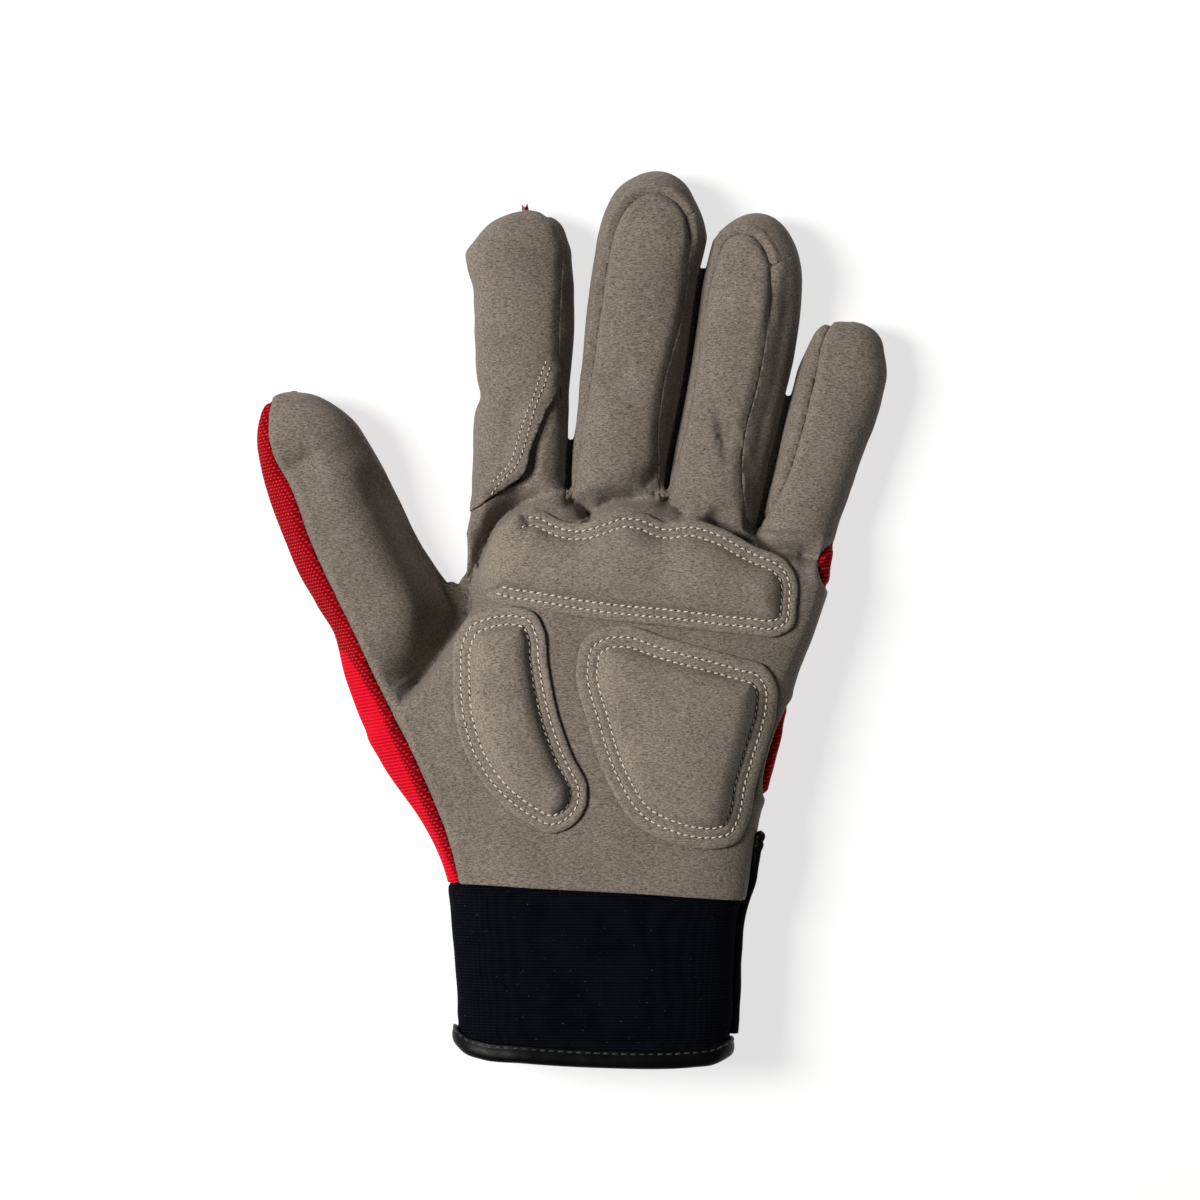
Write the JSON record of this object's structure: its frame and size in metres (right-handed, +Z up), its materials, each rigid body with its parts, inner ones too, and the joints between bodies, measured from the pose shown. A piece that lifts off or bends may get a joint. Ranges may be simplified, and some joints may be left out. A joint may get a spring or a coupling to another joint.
{
  "type": "anti vibration glove",
  "caption": "Left-hand padded work glove with suede palm, stitched palm pads, woven back, elastic wrist cuff with bound mouth and closure strap, lying palm up.",
  "frame": {"origin": "bottom centre of the glove's box, on the surface that its back rests on", "axes": "+Y towards the fingertips, +X across the palm away from the thumb, +Z up out of the palm"},
  "size_m": [0.177, 0.2498, 0.0364],
  "materials": {
    "palm_suede": "matt grey-brown microsuede",
    "side_suede": "matt grey-brown microsuede",
    "pad_suede": "matt grey-brown microsuede over foam",
    "back_cloth": "red ribbed stretch cloth",
    "cuff_neoprene": "black knit-faced neoprene",
    "edge_binding": "smooth black binding",
    "strap_webbing": "black looped strap",
    "seam_thread": "light grey sewing thread"
  },
  "bodies": {
    "root": {"palm_panel": "palm_suede", "index_panel": "palm_suede", "fourchette_index_middle": "side_suede", "fourchette_middle_ring": "side_suede", "fourchette_ring_little": "side_suede", "back_panel": "back_cloth", "knuckle_pad": "pad_suede", "thenar_pad": "pad_suede", "heel_pad": "pad_suede", "cuff": "cuff_neoprene", "cuff_binding": "edge_binding", "side_binding": "edge_binding", "closure_strap": "strap_webbing"}
  },
  "joints": []
}
